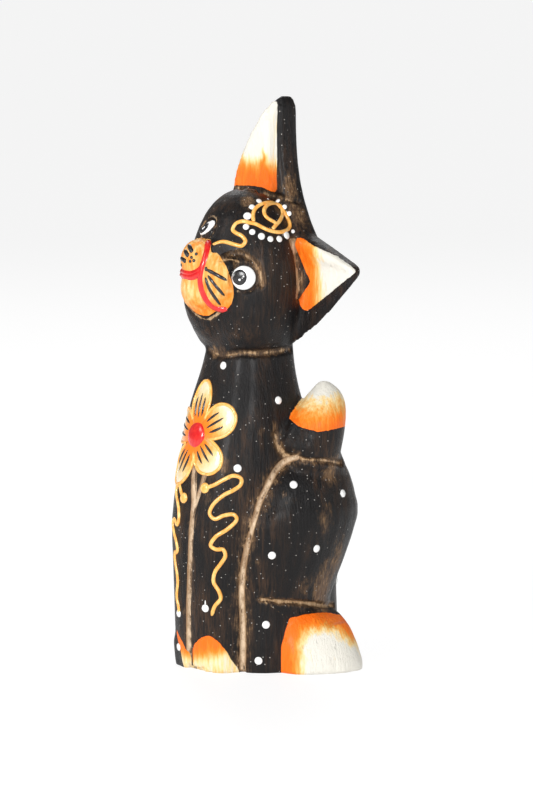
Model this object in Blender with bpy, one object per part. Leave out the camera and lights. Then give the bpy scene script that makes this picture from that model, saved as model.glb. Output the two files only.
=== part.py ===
"""A hand-painted wooden cat, carved from one block, that sits upright with its head
tipped towards its left shoulder, one ear up and the other out to the side.

Metres, +Z up, the floor at z = 0. The chest and the face look along -Y, and the
cat's left is +X. The origin is the middle of the base.
"""
import math

import bmesh
import bpy
from mathutils import Vector

# Driving dimensions, metres
HEIGHT = 0.220            # floor to the tip of the raised ear
GROOVE_WIDTH = 0.0022     # a cut of the small V gouge, across its lips
GROOVE_DEPTH = 0.0011     # the same cut, lips to bottom

# The figure keeps its pose and proportions at any height: one UNIT below is a
# millimetre on a cat that stands 220 mm tall
UNIT = HEIGHT / 220

# The colour of the blackened wood
PAINT_COLOUR = (0.022, 0.018, 0.016, 1.0)
PAINT_ROUGHNESS = 0.42

# Trunk, legs to neck. Each row: height, half width, front, back
TRUNK = (
    (-3.0, 20.4, -38.8, 25.4),
    (2.0, 21.4, -40.2, 27.0),
    (12.0, 22.0, -41.2, 27.4),
    (26.0, 22.2, -41.8, 26.8),
    (43.0, 22.5, -42.2, 26.0),
    (57.0, 23.2, -42.0, 23.4),
    (74.0, 23.4, -39.0, 20.6),
    (90.0, 22.0, -35.4, 14.2),
    (102.0, 20.2, -32.4, 8.6),
    (112.0, 17.8, -29.0, 6.0),
    (122.0, 15.8, -26.4, 5.2),
    (134.0, 15.0, -25.0, 5.0),
)
TRUNK_SQUARENESS = 2.5

# Left haunch. Each row: height, middle x, middle y, half width, half depth
HAUNCH = (
    (-3.0, 12.0, -7.5, 16.9, 22.6),
    (12.0, 12.0, -7.5, 17.2, 23.0),
    (25.5, 11.8, -7.5, 17.0, 23.4),
    (39.2, 13.2, -5.2, 18.2, 26.2),
    (56.9, 14.9, -2.0, 19.4, 28.9),
    (65.0, 14.6, -0.8, 19.0, 26.8),
    (71.8, 14.1, 0.0, 18.1, 24.3),
    (77.3, 14.1, 1.2, 16.1, 20.4),
    (81.2, 14.1, 2.0, 13.3, 15.7),
    (83.6, 14.1, 2.4, 8.2, 9.6),
)
HAUNCH_SQUARENESS = 2.15

# Left hind foot, rows as the haunch's
FOOT = (
    (-3.0, 27.6, 0.4, 14.4, 16.6),
    (3.0, 27.6, 0.4, 15.0, 17.2),
    (14.0, 24.8, -0.4, 13.2, 15.6),
    (20.0, 22.4, -0.8, 11.4, 13.4),
    (23.6, 20.2, -1.2, 8.4, 9.8),
)
FOOT_SQUARENESS = 2.7
FOOT_TURN = math.radians(-24)     # its corner turns in towards the chest

# Left front paw, rows as the haunch's
PAW = (
    (-3.0, 9.2, -27.0, 7.4, 10.8),
    (4.0, 9.2, -27.0, 7.8, 11.6),
    (9.5, 9.2, -27.0, 6.8, 12.6),
    (12.6, 9.2, -27.0, 4.4, 12.6),
)
PAW_SQUARENESS = 2.2

# Tail on the left flank. Each row: x, y, height, half thickness
TAIL = (
    (0.0, 20.0, 3.0, 9.0),
    (2.4, 18.4, 28.0, 9.0),
    (10.0, 17.6, 50.0, 9.0),
    (18.6, 12.0, 67.0, 9.0),
    (22.4, 3.2, 79.0, 9.4),
    (24.0, -0.8, 88.0, 11.0),
    (25.0, 2.2, 95.5, 6.6),
)
TAIL_LEAN = 1.25          # the tail is this much deeper, front to back, than wide

# The tail's tip, pared to a blunt cone. Rows as the haunch's
TAIL_TIP = (
    (78.0, 23.6, 1.6, 9.6, 10.4),
    (84.0, 24.2, 1.2, 10.2, 11.0),
    (90.0, 24.6, 1.6, 10.6, 11.6),
    (97.0, 24.8, 2.8, 10.4, 11.2),
    (102.6, 24.8, 5.4, 8.2, 8.8),
    (107.0, 24.8, 6.6, 5.4, 5.8),
    (109.6, 24.7, 6.3, 3.0, 3.2),
    (111.0, 24.6, 6.0, 1.2, 1.2),
)
TAIL_TIP_SQUARENESS = 2.0

# Head, a rounded block: middle, half sizes
HEAD_MIDDLE = (-0.8, -12.2, 151.6)
HEAD_HALF = (23.4, 19.4, 33.0)
HEAD_SQUARENESS = (2.8, 2.0)      # under the middle, and over it

# Cheeks and chin in front of it
CHIN_MIDDLE = (-4.6, -22.6, 145.2)
CHIN_HALF = (14.4, 12.8, 20.6)
CHIN_SQUARENESS = (2.0, 2.0)

# Muzzle, in the tilt of the face: a low mound with two cheek pads and the lower lip on
# it, each its middle and its half sizes across, out and along the face
FACE_TILT = math.radians(42)
MUZZLE = {
    "muzzle": ((-0.6, -29.6, 151.4), (13.6, 8.4, 14.2)),
    "right cheek pad": ((-4.0, -31.6, 157.4), (8.6, 7.0, 8.6)),
    "left cheek pad": ((5.8, -29.4, 151.6), (9.0, 7.4, 10.8)),
    "lower lip": ((-2.8, -31.4, 147.4), (9.8, 7.4, 10.0)),
}

# Ears. Each is a tapering wedge between its thick inner edge and its thin outer edge.
# The inner edge is given by its root and tip, the outer one bends towards the point
# between its root and tip. Flare widens the inner edge's root, turn sets the tip back.
EAR_FRONT = -3.9          # y of the front face at the ear's root
RAISED_EAR = {
    "inner": ((9.5, 164.0), (8.6, 220.0)),
    "outer": ((-16.0, 158.0), (-33.0, 184.0), (4.0, 220.0)),
    "thickness": (12.6, 9.4),
    "turn": 1.6,
    "flare": 13.8,
}
LOWERED_EAR = {
    "inner": ((12.0, 171.4), (47.2, 156.2)),
    "outer": ((9.0, 120.6), (32.0, 133.2), (47.2, 150.6)),
    "thickness": (12.0, 6.4),
    "turn": 4.6,
    "flare": 0.0,
}
EAR_HOLLOW = 2.6          # depth of the fold down the front of an ear
EAR_HOLLOW_LEFT = 0.2     # what is left of that depth at the tip
EAR_RINGS = 12

# Round an ear from the inner edge: share of the width, share of the thickness from the
# front, share of the fold's depth
EAR_SECTION = (
    (0.02, 0.10, 0.0), (0.06, 0.0, 0.0), (0.12, -0.02, 0.0), (0.30, 0.0, 1.0),
    (0.60, 0.06, 0.35), (0.90, 0.0, 0.0), (1.0, 0.05, 0.0), (0.98, 0.16, 0.0),
    (0.80, 0.42, 0.0), (0.50, 0.78, 0.0), (0.22, 0.97, 0.0), (0.06, 0.92, 0.0),
    (0.0, 0.70, 0.0), (0.0, 0.35, 0.0),
)
EAR_TIP_STARTS = 0.9      # share of the way up where the tip starts to round
EAR_TIP_END = 0.3         # what is left of the section at the very tip

# The notch between haunch and hind foot: a ledge under the haunch's bulge
ANKLE_HEIGHT = 25.6
ANKLE_DEPTH = 2.4
ANKLE_REACH = 9.0         # the cutter's reach outside the haunch
ANKLE_RISE = 0.4          # how far its upper face has risen there
ANKLE_DROP = 9.4          # and how far its lower face has dropped
ANKLE_STEPS = 14
ANKLE_ANGLES = (math.radians(46), math.radians(150))

# The side groove follows the seam of trunk and haunch: up from below the floor, and
# from the turn on over the top, to the last angle round the haunch
SEAM_FOOT = -2.0
SEAM_TURN = 73.0
SEAM_LAST_ANGLE = math.radians(86)
SEAM_STEPS = 10

# The groove down the middle of the chest parts the front legs, and forks to the cat's
# left under the chest. Each: lowest and highest point, how far its top is aside
FRONT_GROOVE = (-1.0, 68.0, 0.0)
FRONT_GROOVE_STEPS = 14
FRONT_FORK = (60.0, 76.0, 4.4)
FRONT_FORK_STEPS = 6

RING_POINTS = 32          # points round the trunk and head
LOBE_POINTS = 24          # points round the smaller forms


def smooth_rows(rows, per_span):
    """More rows through the given ones, on a smooth curve that doesn't overshoot."""
    count = len(rows)
    width = len(rows[0])
    result = []
    for index in range(count - 1):
        before = rows[max(index - 1, 0)]
        start = rows[index]
        end = rows[index + 1]
        after = rows[min(index + 2, count - 1)]
        for step in range(per_span):
            t = step / per_span
            values = []
            for column in range(width):
                tangent_in = (end[column] - before[column]) / 2
                tangent_out = (after[column] - start[column]) / 2
                h00 = (1 + 2 * t) * (1 - t) ** 2
                h10 = t * (1 - t) ** 2
                h01 = t * t * (3 - 2 * t)
                h11 = t * t * (t - 1)
                values.append(h00 * start[column] + h10 * tangent_in
                              + h01 * end[column] + h11 * tangent_out)
            result.append(tuple(values))
    result.append(tuple(rows[-1]))
    return result


def superellipse(angle, half_x, half_y, squareness):
    """A point of a rounded oblong, from -Y round through +X."""
    sine = math.sin(angle)
    cosine = math.cos(angle)
    power = 2 / squareness
    x = half_x * math.copysign(abs(sine) ** power, sine)
    y = -half_y * math.copysign(abs(cosine) ** power, cosine)
    return x, y


def loft(name, rings):
    """A closed body through rings of points, each ring a list of vectors."""
    shape = bmesh.new()
    loops = []
    for ring in rings:
        made = bmesh.ops.create_circle(shape, cap_ends=False, segments=len(ring), radius=1)
        for vertex, point in zip(made["verts"], ring):
            vertex.co = point
        loops.append(made["verts"])
    for lower, upper in zip(loops, loops[1:]):
        edges = set()
        for loop in (lower, upper):
            for index, vertex in enumerate(loop):
                edges.add(shape.edges.get((vertex, loop[index - 1])))
        bmesh.ops.bridge_loops(shape, edges=list(edges))
    for loop in (loops[0], loops[-1]):
        rim = [shape.edges.get((vertex, loop[index - 1])) for index, vertex in enumerate(loop)]
        bmesh.ops.edgeloop_fill(shape, edges=rim)
    bmesh.ops.recalc_face_normals(shape, faces=shape.faces)
    mesh = bpy.data.meshes.new(name)
    shape.to_mesh(mesh)
    shape.free()
    made = bpy.data.objects.new(name, mesh)
    bpy.context.scene.collection.objects.link(made)
    return made


def level_ring(height, middle_x, middle_y, half_x, half_y, squareness, points, turn=0.0):
    """One level ring of a lofted form, in units of the figure."""
    ring = []
    for index in range(points):
        x, y = superellipse(2 * math.pi * index / points, half_x, half_y, squareness)
        turned_x = x * math.cos(turn) - y * math.sin(turn)
        turned_y = x * math.sin(turn) + y * math.cos(turn)
        ring.append(Vector((middle_x + turned_x, middle_y + turned_y, height)) * UNIT)
    return ring


def make_trunk():
    rings = []
    for height, half, front, back in smooth_rows(TRUNK, 2):
        middle = (front + back) / 2
        rings.append(level_ring(height, 0, middle, half, middle - front,
                                TRUNK_SQUARENESS, RING_POINTS))
    return loft("trunk", rings)


def make_lobe(name, rows, squareness, side, turn=0.0):
    """A form of level rings, on the cat's left with side 1 or its right with -1."""
    rings = []
    for height, middle_x, middle_y, half_x, half_y in smooth_rows(rows, 2):
        rings.append(level_ring(height, side * middle_x, middle_y, half_x, half_y,
                                squareness, LOBE_POINTS, side * turn))
    return loft(name, rings)


def make_tail():
    rows = smooth_rows(TAIL, 2)
    rings = []
    for index, row in enumerate(rows):
        before = Vector(rows[max(index - 1, 0)][:3])
        after = Vector(rows[min(index + 1, len(rows) - 1)][:3])
        along = (after - before).normalized()
        across = along.cross(Vector((0, 1, 0))).normalized()
        deep = across.cross(along)
        ring = []
        for point in range(LOBE_POINTS // 2):
            angle = 4 * math.pi * point / LOBE_POINTS
            offset = (across * math.cos(angle)
                      + deep * math.sin(angle) * TAIL_LEAN) * row[3]
            ring.append((Vector(row[:3]) + offset) * UNIT)
        rings.append(ring)
    return loft("tail", rings)


def make_round(name, middle, half, squareness, points, tilt=0.0):
    """A rounded block: a sphere drawn out to its half sizes and squared.

    The squareness is given for under and over the middle.
    """
    shape = bmesh.new()
    bmesh.ops.create_uvsphere(shape, u_segments=points, v_segments=points // 2, radius=1)
    for vertex in shape.verts:
        direction = vertex.co.normalized()
        up = min(max(direction.z + 0.5, 0), 1)
        blend = squareness[0] + (squareness[1] - squareness[0]) * up * up * (3 - 2 * up)
        reach = sum(abs(part) ** blend for part in direction) ** (-1 / blend)
        x, y, z = (size * part * reach for size, part in zip(half, direction))
        tilted_x = x * math.cos(tilt) + z * math.sin(tilt)
        tilted_z = z * math.cos(tilt) - x * math.sin(tilt)
        vertex.co = (Vector(middle) + Vector((tilted_x, y, tilted_z))) * UNIT
    mesh = bpy.data.meshes.new(name)
    shape.to_mesh(mesh)
    shape.free()
    made = bpy.data.objects.new(name, mesh)
    bpy.context.scene.collection.objects.link(made)
    return made


def make_ear(name, ear):
    """A wedge from its root, inside the head, to its rounded tip."""
    inner_root, inner_tip = (Vector(point) for point in ear["inner"])
    outer_root, outer_bend, outer_tip = (Vector(point) for point in ear["outer"])
    rings = []
    for step in range(EAR_RINGS):
        t = math.sin(math.pi / 2 * step / (EAR_RINGS - 1))
        inner = inner_root.lerp(inner_tip, t)
        inner.x += ear["flare"] * (1 - t) ** 3
        outer = outer_root.lerp(outer_bend, t).lerp(outer_bend.lerp(outer_tip, t), t)
        span = outer - inner
        front = EAR_FRONT + ear["turn"] * t
        depth = ear["thickness"][0] * (1 - t) + ear["thickness"][1] * t
        past = max((t - EAR_TIP_STARTS) / (1 - EAR_TIP_STARTS), 0)
        tip_round = EAR_TIP_END + (1 - EAR_TIP_END) * math.sqrt(1 - past ** 2)
        centre = (inner + outer) / 2
        ring = []
        hollow = EAR_HOLLOW * math.sqrt(1 - t) + EAR_HOLLOW_LEFT
        for share, back, fold in EAR_SECTION:
            flat = inner + span * share
            flat = centre + (flat - centre) * tip_round
            back += fold * hollow / depth
            y = front + depth * (0.5 + (back - 0.5) * tip_round)
            ring.append(Vector((flat.x, y, flat.y)) * UNIT)
        rings.append(ring)
    return loft(name, rings)


def inside_trunk(x, y, height_rows):
    """Less than 1 inside the trunk's level section, 1 on it."""
    half, front, back = height_rows
    middle = (front + back) / 2
    return (abs(x / half) ** TRUNK_SQUARENESS
            + abs((y - middle) / (middle - front)) ** TRUNK_SQUARENESS)


def at_height(rows, height):
    """The row of a profile at a height, without that height."""
    for lower, upper in zip(rows, rows[1:]):
        if lower[0] <= height <= upper[0]:
            t = (height - lower[0]) / (upper[0] - lower[0])
            return tuple(a + (b - a) * t for a, b in zip(lower[1:], upper[1:]))
    return rows[-1][1:]


def haunch_seam(side):
    """Where the haunch rises out of the trunk: the line of the side groove.

    The seam is found level by level where it runs up, and then angle by angle where it
    turns over the top of the haunch.
    """
    trunk_rows = smooth_rows(TRUNK, 2)
    haunch_rows = smooth_rows(HAUNCH, 2)

    def place(angle, height):
        middle_x, middle_y, half_x, half_y = at_height(haunch_rows, height)
        x, y = superellipse(angle, half_x, half_y, HAUNCH_SQUARENESS)
        return middle_x + x, middle_y + y

    def outside(angle, height):
        x, y = place(angle, height)
        return inside_trunk(x, y, at_height(trunk_rows, height)) > 1

    def crossing(low, high, test):
        for _ in range(30):
            middle = (low + high) / 2
            if test(middle):
                high = middle
            else:
                low = middle
        return (low + high) / 2

    seam = []
    for step in range(SEAM_STEPS):
        height = SEAM_FOOT + (SEAM_TURN - SEAM_FOOT) * step / (SEAM_STEPS - 1)
        angle = crossing(0.0, math.pi / 2, lambda value: outside(value, height))
        seam.append((*place(angle, height), height))
    for step in range(1, SEAM_STEPS):
        turn = angle + (SEAM_LAST_ANGLE - angle) * step / (SEAM_STEPS - 1)
        top = crossing(HAUNCH[-1][0], SEAM_TURN, lambda value: outside(turn, value))
        seam.append((*place(turn, top), top))
    return [Vector((side * x, y, height)) * UNIT for x, y, height in seam]


def groove_cutter(name, path, outward):
    """A diamond bar along a path, so that it cuts a V as wide and deep as the gouge."""
    rings = []
    for index, point in enumerate(path):
        along = (path[min(index + 1, len(path) - 1)] - path[max(index - 1, 0)]).normalized()
        out = outward(point)
        out = (out - along * out.dot(along)).normalized()
        across = along.cross(out)
        rings.append([point - out * GROOVE_DEPTH, point + across * GROOVE_WIDTH / 2,
                      point + out * GROOVE_DEPTH * 2, point - across * GROOVE_WIDTH / 2])
    return loft(name, rings)


def ankle_cutter(name, side):
    """A three-sided bar that follows the haunch and leaves a ledge over the foot."""
    rows = smooth_rows(HAUNCH, 2)
    middle_x, middle_y, half_x, half_y = at_height(rows, ANKLE_HEIGHT)
    first, last = ANKLE_ANGLES
    rings = []
    for step in range(ANKLE_STEPS):
        t = step / (ANKLE_STEPS - 1)
        x, y = superellipse(first + (last - first) * t, half_x, half_y, HAUNCH_SQUARENESS)
        out = Vector((x / half_x, y / half_y)).normalized()
        depth = ANKLE_DEPTH * min(t * 4, 1)
        ring = []
        for reach, rise in ((-depth, 0.0), (ANKLE_REACH, ANKLE_RISE),
                            (ANKLE_REACH, -ANKLE_DROP)):
            ring.append(Vector((side * (middle_x + x + out.x * reach),
                                middle_y + y + out.y * reach, ANKLE_HEIGHT + rise)) * UNIT)
        rings.append(ring)
    return loft(name, rings)


def front_line(low, high, aside, steps):
    """Points up the front of the trunk, that stray aside on the way."""
    rows = smooth_rows(TRUNK, 2)
    power = TRUNK_SQUARENESS
    path = []
    for step in range(steps):
        t = step / (steps - 1)
        height = low + (high - low) * t
        half, front, back = at_height(rows, height)
        x = aside * t
        middle = (front + back) / 2
        y = middle - (middle - front) * (1 - (x / half) ** power) ** (1 / power)
        path.append(Vector((x, y, height)) * UNIT)
    return path


def out_from_axis(point):
    return Vector((point.x, point.y - HEAD_MIDDLE[1] * UNIT, 0)).normalized()


def combine(body, guides, operation):
    for guide in guides:
        step = body.modifiers.new(operation.lower() + " " + guide.name, "BOOLEAN")
        step.operation = operation
        step.object = guide
        step.solver = "EXACT"
        guide.hide_render = True
        guide.display_type = "WIRE"


def make_floor_cut():
    """Everything below the floor, to leave the base flat."""
    shape = bmesh.new()
    bmesh.ops.create_cube(shape, size=HEIGHT)
    bmesh.ops.translate(shape, verts=shape.verts, vec=(0, 0, -HEIGHT / 2))
    mesh = bpy.data.meshes.new("floor cut")
    shape.to_mesh(mesh)
    shape.free()
    made = bpy.data.objects.new("floor cut", mesh)
    bpy.context.scene.collection.objects.link(made)
    return made


def painted_wood():
    material = bpy.data.materials.new("blackened wood")
    material.use_nodes = True
    shader = material.node_tree.nodes["Principled BSDF"]
    shader.inputs["Base Color"].default_value = PAINT_COLOUR
    shader.inputs["Roughness"].default_value = PAINT_ROUGHNESS
    shader.inputs["Metallic"].default_value = 0.0
    return material


for old in list(bpy.data.objects):
    bpy.data.objects.remove(old, do_unlink=True)

cat = make_trunk()
cat.name = "cat_figurine"
forms = [
    make_lobe("left haunch", HAUNCH, HAUNCH_SQUARENESS, 1),
    make_lobe("right haunch", HAUNCH, HAUNCH_SQUARENESS, -1),
    make_lobe("left hind foot", FOOT, FOOT_SQUARENESS, 1, FOOT_TURN),
    make_lobe("right hind foot", FOOT, FOOT_SQUARENESS, -1, FOOT_TURN),
    make_lobe("left paw", PAW, PAW_SQUARENESS, 1),
    make_lobe("right paw", PAW, PAW_SQUARENESS, -1),
    make_tail(),
    make_lobe("tail tip", TAIL_TIP, TAIL_TIP_SQUARENESS, 1),
    make_round("head", HEAD_MIDDLE, HEAD_HALF, HEAD_SQUARENESS, RING_POINTS),
    make_round("chin", CHIN_MIDDLE, CHIN_HALF, CHIN_SQUARENESS, LOBE_POINTS),
    *(make_round(name, middle, half, CHIN_SQUARENESS, LOBE_POINTS, FACE_TILT)
      for name, (middle, half) in MUZZLE.items()),
    make_ear("raised ear", RAISED_EAR),
    make_ear("lowered ear", LOWERED_EAR),
]
combine(cat, forms, "UNION")

cuts = [
    make_floor_cut(),
    groove_cutter("front groove", front_line(*FRONT_GROOVE, FRONT_GROOVE_STEPS),
                  out_from_axis),
    groove_cutter("fork of the front groove", front_line(*FRONT_FORK, FRONT_FORK_STEPS),
                  out_from_axis),
    groove_cutter("left side groove", haunch_seam(1), out_from_axis),
    groove_cutter("right side groove", haunch_seam(-1), out_from_axis),
    ankle_cutter("left ankle notch", 1),
    ankle_cutter("right ankle notch", -1),
]
combine(cat, cuts, "DIFFERENCE")

cat.data.materials.append(painted_wood())
cat.data.shade_smooth()
cat.data.set_sharp_from_angle(angle=math.radians(38))
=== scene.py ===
"""A hand-painted wooden cat figurine: the carved block with its paint, wear and varnish,
and the thick paint that is piped and dotted on it. Metres, +Z up, chest towards -Y.
"""
import math

import bmesh
import bpy
import numpy as np
from mathutils import Matrix, Vector
from mathutils.bvhtree import BVHTree


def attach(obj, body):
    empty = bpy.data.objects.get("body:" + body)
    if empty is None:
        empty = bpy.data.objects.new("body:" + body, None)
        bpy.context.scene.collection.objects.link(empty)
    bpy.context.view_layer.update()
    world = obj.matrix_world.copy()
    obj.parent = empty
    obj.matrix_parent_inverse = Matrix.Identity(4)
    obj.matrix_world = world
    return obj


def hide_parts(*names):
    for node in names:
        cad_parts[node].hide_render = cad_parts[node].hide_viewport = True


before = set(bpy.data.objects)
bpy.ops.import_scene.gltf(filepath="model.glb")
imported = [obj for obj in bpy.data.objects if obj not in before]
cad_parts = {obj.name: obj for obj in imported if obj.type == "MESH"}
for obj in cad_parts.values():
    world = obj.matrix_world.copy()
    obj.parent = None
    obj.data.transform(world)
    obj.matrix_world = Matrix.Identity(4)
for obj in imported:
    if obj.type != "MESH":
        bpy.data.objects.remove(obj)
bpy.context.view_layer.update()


# The studio: a wide pale floor, soft light from four panels and a white room, and
# the camera where the photographer stood, to the cat's front left and a little above it.
FLOOR_HALF_WIDTH = 40.0
FLOOR_COLOUR = (0.15, 0.15, 0.15, 1.0)
FLOOR_GLOW = 0.85                      # lit from below, as a product photographer's table
ROOM_STRENGTH = 0.22
PANELS = {                # place, side of the square, watts
    "key panel": ((0.26, -1.16, 0.48), 0.30, 9.5),
    "front panel": ((-0.50, -1.10, 0.95), 0.45, 4.0),
    "fill panel": ((1.35, -0.50, 0.55), 0.4, 10.0),
    "back panel": ((-0.9, 0.7, 1.0), 0.8, 7.0),
}
FIGURE_MIDDLE = Vector((0, 0, 0.11))
PHOTO_MIDDLE = (266.5, 400.0)          # pixels
FOCAL_LENGTH = 180.0                   # mm, on a 36 mm sensor
FOCAL_PIXELS = FOCAL_LENGTH / 36 * 800
CAMERA_AROUND = math.radians(50)
CAMERA_DISTANCE = 1.5723
CAMERA_RISE = math.radians(11)
CAMERA_PITCH = math.radians(7.33)
CAMERA_YAW = 0.001                     # radians that it looks past the cat

floor_shape = bmesh.new()
bmesh.ops.create_grid(floor_shape, x_segments=1, y_segments=1, size=FLOOR_HALF_WIDTH)
floor_mesh = bpy.data.meshes.new("studio_floor")
floor_shape.to_mesh(floor_mesh)
floor_shape.free()
floor = bpy.data.objects.new("studio_floor", floor_mesh)
bpy.context.scene.collection.objects.link(floor)
floor_finish = bpy.data.materials.new("pale floor")
floor_finish.use_nodes = True
floor_shader = floor_finish.node_tree.nodes["Principled BSDF"]
floor_shader.inputs["Base Color"].default_value = FLOOR_COLOUR
floor_shader.inputs["Roughness"].default_value = 0.7
floor_shader.inputs["Emission Color"].default_value = (1, 1, 1, 1)
floor_shader.inputs["Emission Strength"].default_value = FLOOR_GLOW
floor_mesh.materials.append(floor_finish)

room = bpy.data.worlds.new("white room")
room.use_nodes = True
room.node_tree.nodes["Background"].inputs["Color"].default_value = (1, 1, 1, 1)
room.node_tree.nodes["Background"].inputs["Strength"].default_value = ROOM_STRENGTH
bpy.context.scene.world = room
for panel_name, (place, side, watts) in PANELS.items():
    light = bpy.data.lights.new(panel_name, "AREA")
    light.size = side
    light.energy = watts
    panel = bpy.data.objects.new(panel_name, light)
    panel.location = place
    panel.rotation_euler = (FIGURE_MIDDLE - Vector(place)).to_track_quat("-Z", "Y").to_euler()
    bpy.context.scene.collection.objects.link(panel)

lens = bpy.data.cameras.new("camera")
lens.lens = FOCAL_LENGTH
lens.clip_end = 100
camera = bpy.data.objects.new("camera", lens)
backwards = Vector((math.sin(CAMERA_AROUND), -math.cos(CAMERA_AROUND), 0))
rightwards = Vector((math.cos(CAMERA_AROUND), math.sin(CAMERA_AROUND), 0))
camera.location = CAMERA_DISTANCE * (backwards * math.cos(CAMERA_RISE)
                                     + Vector((0, 0, math.sin(CAMERA_RISE))))
gaze = Vector((0, 0, -math.sin(CAMERA_PITCH))) - backwards * math.cos(CAMERA_PITCH)
gaze -= rightwards * CAMERA_YAW
camera.rotation_euler = gaze.to_track_quat("-Z", "Y").to_euler()
bpy.context.scene.collection.objects.link(camera)
bpy.context.scene.camera = camera
bpy.context.scene.view_settings.view_transform = "Standard"


# The cat: one block of light wood, roughed out with a knife and gouges, sanded, and then
# cut again with a small gouge for the grooves, the eyes and the mouth. This makes its
# form; the lines of the cuts are given in pixels of the photo and fall on the block.
VOXEL = 0.00105
RELAX_ROUNDS = 16
RELAX_PULLS = (0.6, -0.61)   # in, and out again, so that the wood keeps its size
HEAL_ROUNDS = 26          # more for the old grooves, before they are cut anew
HEAL_REACH = 0.0042
FINE_REACH = 0.0028       # the mesh is finer this near to a cut
BASE_SNAP = 0.0007

SIDE_GROOVE = ((297, 458), (284, 462), (275, 472), (268, 484.5), (260, 501), (256.5, 511),
               (250, 534), (244.3, 560), (241.7, 587), (242.4, 614), (243, 641), (242.4, 672))
FRONT_GROOVE = ((194.6, 468), (194, 478), (193.5, 500), (190.8, 534), (189.5, 574), (188.8, 614),
                (188.8, 661), (188.8, 672))
FRONT_FORK = ((205, 474), (200.5, 489), (195.5, 504), (192, 518))
HAUNCH_CREASE = ((284, 456), (297, 458), (306, 461), (322, 461), (342, 463))
TAIL_CREASE = ((276, 434), (278, 445), (284, 457))
ANKLE_LEDGE = ((262, 600), (280, 602), (300, 603), (318, 604.5), (334, 605.5))
FOOT_RIDGE = ((264, 601), (276, 610), (289, 619))
NECK_CREASE = ((208, 349), (216, 354), (227, 355), (240, 353), (265, 353), (291, 349))
BROW = ((222, 259.5), (232, 254.5), (242, 254), (252, 260), (259, 270), (262, 285))
EYE_RING = ((243.7, 277.8), 0.0052)          # middle, radius
FAR_EYE_RING = ((207.6, 227.8), 0.0044)
EYE_RING_DEPTH = 0.0006
KNIFE_FACETS = ((0.011, 0.034), (0.0065, 0.019))    # metres across and up the grain
FACET_DEPTH = 0.00005
LIP_CREASES = (
    ((208.4, 238), (207, 250), (204, 262), (201.3, 270)),
    ((201.3, 270), (196, 272.5), (188, 274.7), (180.3, 271.3)),
    ((201, 270), (200, 280), (202.6, 292.6), (209, 304), (216.6, 309), (228, 309.5)),
)
CHIN_CREASE = ((184, 300), (189, 308.5), (197, 316), (207.7, 320), (220, 312))
BROW_RIDGE = ((220, 259.8), (231, 259.4), (238, 261.4))
HEAD_EAR_GROOVE = ((293, 240), (296, 255), (298, 270), (299, 284), (298.6, 297))
EAR_FOLD = ((268, 122), (267.5, 150), (267, 180))
EAR_ROOT_CREASE = ((236, 188), (250, 190), (264, 193), (278, 197), (300, 202))


def smooth_line(points, per_span=6):
    """More points on a smooth curve through the given ones, of two or three numbers."""
    points = [np.array(point, float) for point in points]
    result = []
    for index in range(len(points) - 1):
        before = points[max(index - 1, 0)]
        start = points[index]
        end = points[index + 1]
        after = points[min(index + 2, len(points) - 1)]
        for step in range(per_span):
            t = step / per_span
            result.append(0.5 * (2 * start + (end - before) * t
                                 + (2 * before - 5 * start + 4 * end - after) * t ** 2
                                 + (3 * start - before - 3 * end + after) * t ** 3))
    result.append(points[-1])
    return result


def touch(tree, pixel_x, pixel_y):
    """Where the line of sight through a pixel meets the wood, and the wood's normal.

    A pixel just off the outline is moved in until it meets the wood.
    """
    turn = camera.rotation_euler.to_matrix()
    for step in range(12):
        across = (pixel_x + (PHOTO_MIDDLE[0] - pixel_x) * step * 0.02 - PHOTO_MIDDLE[0])
        ray = turn @ Vector((across / FOCAL_PIXELS,
                             (PHOTO_MIDDLE[1] - pixel_y) / FOCAL_PIXELS, -1))
        place, normal, _, _ = tree.ray_cast(camera.location, ray.normalized())
        if place is not None:
            return place, normal
    return tree.find_nearest(FIGURE_MIDDLE)[:2]


def fall_on(tree, pixels, per_span=6):
    """A smooth line of pixels, laid on the wood."""
    return np.array([touch(tree, *pixel)[0] for pixel in smooth_line(pixels, per_span)])


def distance_to(points, line):
    """How far each point is from a line through the given places."""
    nearest = np.full(len(points), 1.0)
    for start, end in zip(line[:-1], line[1:]):
        span = end - start
        share = np.clip((points - start) @ span / max(span @ span, 1e-14), 0, 1)
        gap = np.linalg.norm(points - start - share[:, None] * span, axis=1)
        nearest = np.minimum(nearest, gap)
    return nearest


def mirrored(line):
    return line * np.array((-1.0, 1.0, 1.0))


def read_points(mesh, what="vertices"):
    """The mesh's points, or with "vertex_normals" their normals, as rows."""
    rows = np.empty(len(mesh.vertices) * 3, np.float32)
    source = getattr(mesh, what)
    source.foreach_get("co" if what == "vertices" else "vector", rows)
    return rows.reshape(-1, 3).astype(float)


def write_points(mesh, points):
    mesh.vertices.foreach_set("co", points.astype(np.float32).ravel())
    mesh.update()


def relax(mesh, share, rounds):
    """Smooths the wood without shrinking it, by each point's share from 0 to 1."""
    points = read_points(mesh)
    edges = np.empty(len(mesh.edges) * 2, np.int32)
    mesh.edges.foreach_get("vertices", edges)
    first, second = edges.reshape(-1, 2).T
    count = len(points)
    links = np.bincount(first, minlength=count) + np.bincount(second, minlength=count)
    for _ in range(rounds):
        for pull in RELAX_PULLS:
            mean = np.empty_like(points)
            for axis in range(3):
                mean[:, axis] = (np.bincount(first, points[second, axis], count)
                                 + np.bincount(second, points[first, axis], count)) / links
            points += (mean - points) * (share * pull)[:, None]
    write_points(mesh, points)


def soft(values, low, high):
    """0 below low and 1 above high, and a smooth step between."""
    t = np.clip((values - low) / (high - low), 0, 1)
    return t * t * (3 - 2 * t)


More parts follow.
